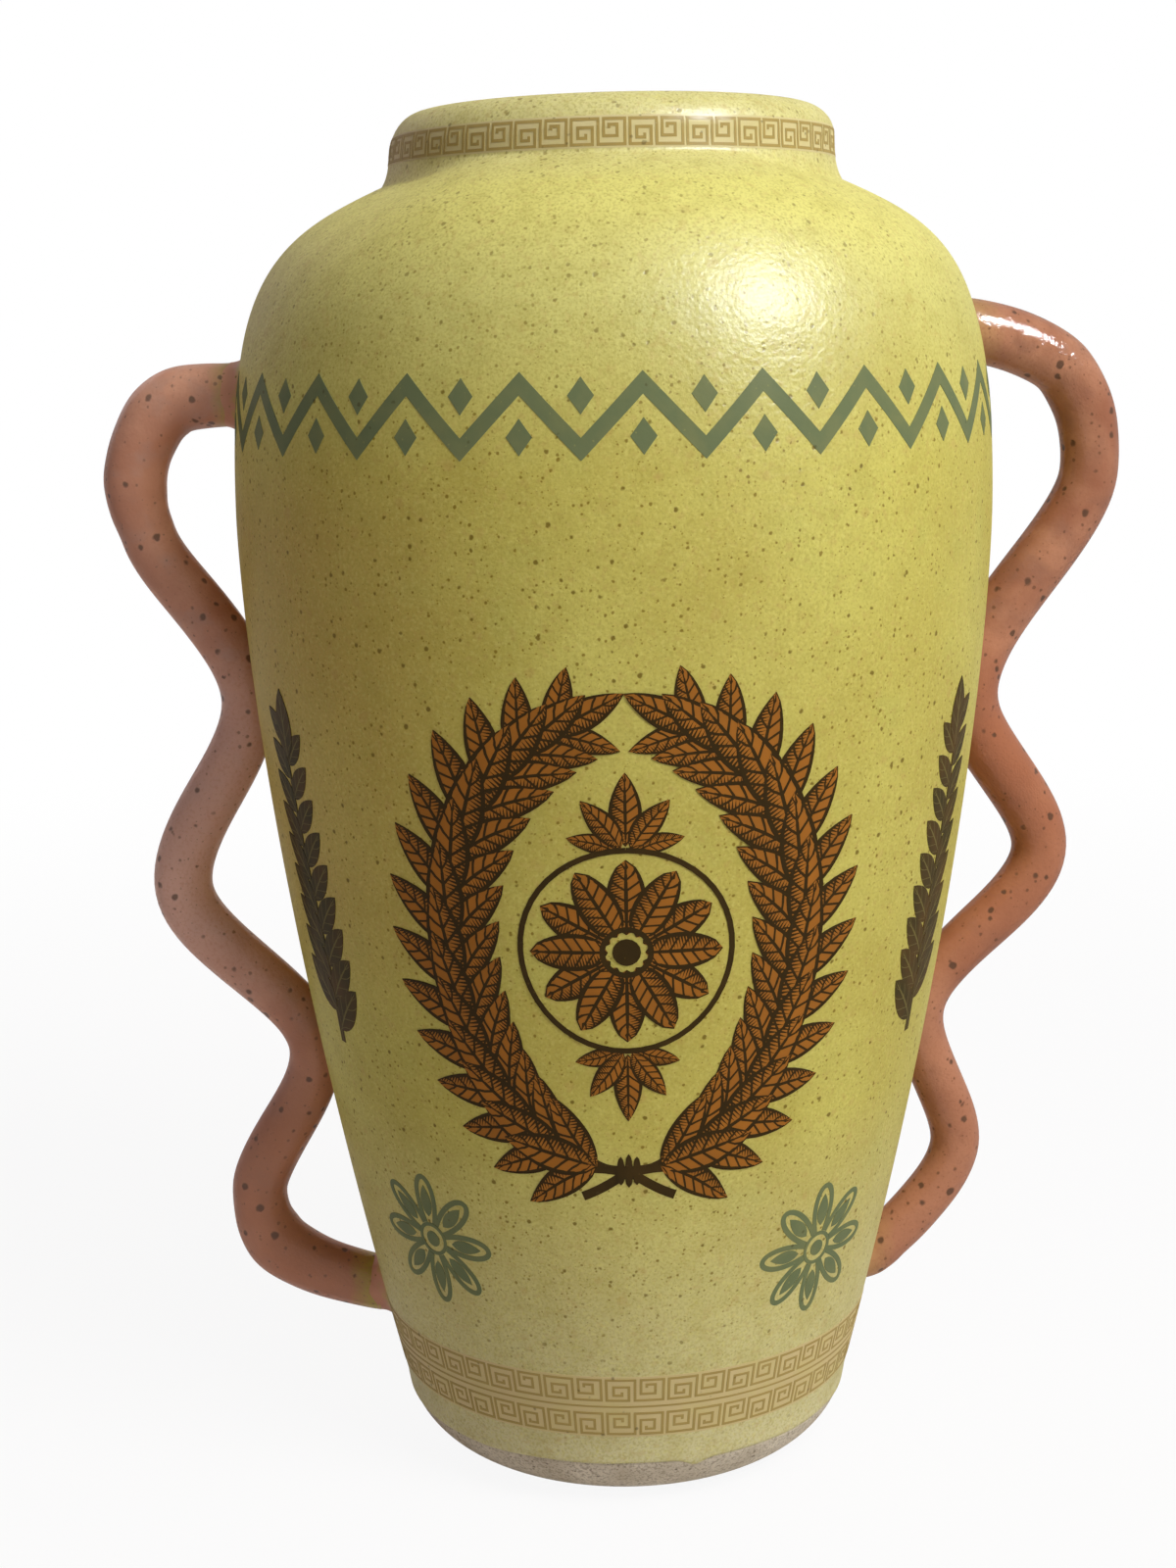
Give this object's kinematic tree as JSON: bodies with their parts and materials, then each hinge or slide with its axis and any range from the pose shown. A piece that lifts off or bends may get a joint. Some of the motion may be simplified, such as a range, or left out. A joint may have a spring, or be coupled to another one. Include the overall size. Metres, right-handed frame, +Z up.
{
  "type": "amphora vase",
  "caption": "Tall thrown stoneware amphora vase with a short collar neck, two wavy rolled-coil handles and an unglazed rounded foot.",
  "frame": {"origin": "middle of the flat underside, on the surface the vase stands on", "axes": "+Z up along the jar's axis, +X towards the right handle as the picture shows it, -Y towards the viewer and the round medallion"},
  "size_m": [0.3243, 0.233, 0.4218],
  "materials": {
    "glazed_wall": "satin",
    "handle_glaze": "gloss",
    "raw_clay": "matte",
    "luting_clay": "satin"
  },
  "bodies": {
    "root": {"foot": "raw_clay", "lower_wall": "glazed_wall", "middle_wall": "glazed_wall", "shoulder_wall": "glazed_wall", "neck_collar": "glazed_wall", "left_handle": "handle_glaze", "right_handle": "handle_glaze", "left_upper_luting": "luting_clay", "left_lower_luting": "luting_clay", "right_upper_luting": "luting_clay", "right_lower_luting": "luting_clay"}
  },
  "joints": []
}
